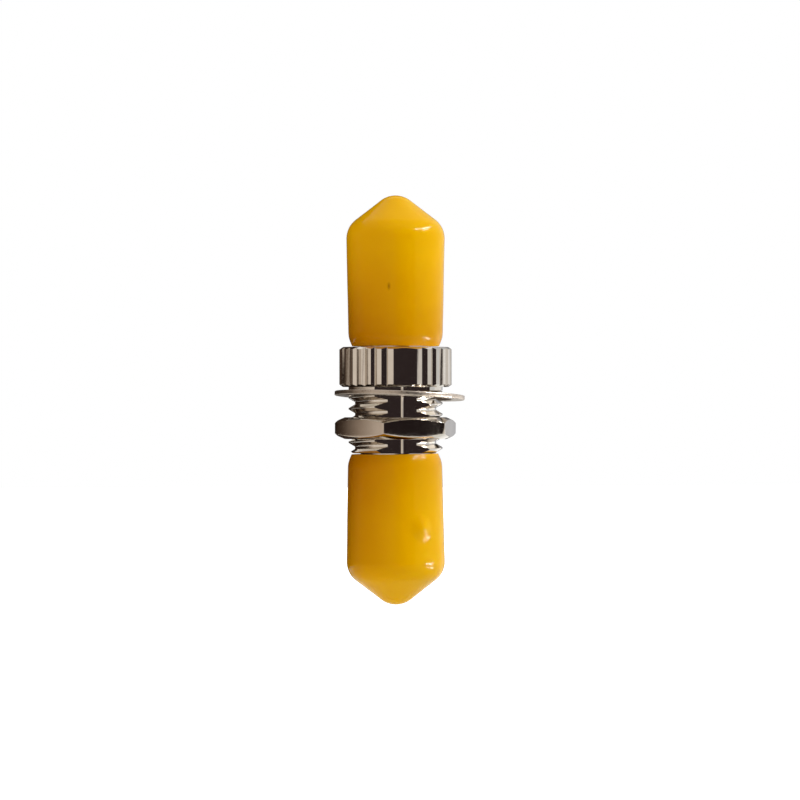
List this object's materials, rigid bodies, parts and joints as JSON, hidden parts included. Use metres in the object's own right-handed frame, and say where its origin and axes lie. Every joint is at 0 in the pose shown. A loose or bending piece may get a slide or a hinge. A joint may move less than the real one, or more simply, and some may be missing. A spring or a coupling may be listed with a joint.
{
  "type": "st fibre adapter",
  "caption": "Bulkhead coupler that joins two bayonet fibre plugs: knurled collar, flatted panel thread, jam nut, washer, split sleeve and pull-off dust caps.",
  "frame": {"origin": "on the axis, in the collar's underside, the face that seats against the panel", "axes": "+Z along the axis, from the nut towards the collar; the thread's flats and the mould parting face -Y and +Y"},
  "size_m": [0.0134, 0.0132, 0.0416],
  "materials": {
    "nickel_plated_zinc": "bright nickel plate",
    "nickel_plated_brass": "bright nickel plate",
    "nickel_plated_steel": "satin nickel plate",
    "zirconia": "ground ceramic",
    "yellow_vinyl": "glossy dip-moulded vinyl"
  },
  "bodies": {
    "adapter": {"threaded_body": "nickel_plated_zinc", "sleeve_retainer": "nickel_plated_brass", "alignment_sleeve": "zirconia"},
    "loose_washer": {"washer": "nickel_plated_steel"},
    "jam_nut": {"hex_nut": "nickel_plated_brass"},
    "upper_cap": {"upper_dust_cap": "yellow_vinyl"},
    "lower_cap": {"lower_dust_cap": "yellow_vinyl"}
  },
  "joints": [
    {"name": "nut_turn", "type": "hinge", "parent": "adapter", "child": "loose_washer", "pos_m": [0, 0, 0], "axis": [0, 0, 1], "range_deg": [-361, 453]},
    {"name": "nut_travel", "type": "slide", "parent": "loose_washer", "child": "jam_nut", "axis": [0, 0, 1], "range_m": [-0.00113, 0.00142]},
    {"name": "upper_cap_pull", "type": "slide", "parent": "adapter", "child": "upper_cap", "axis": [0, 0, 1], "range_m": [0, 0.012]},
    {"name": "lower_cap_pull", "type": "slide", "parent": "adapter", "child": "lower_cap", "axis": [0, 0, -1], "range_m": [0, 0.012]}
  ],
  "couplings": [
    {"joint": "nut_turn", "follows": "nut_travel", "rad_per_m": 5560.3}
  ]
}
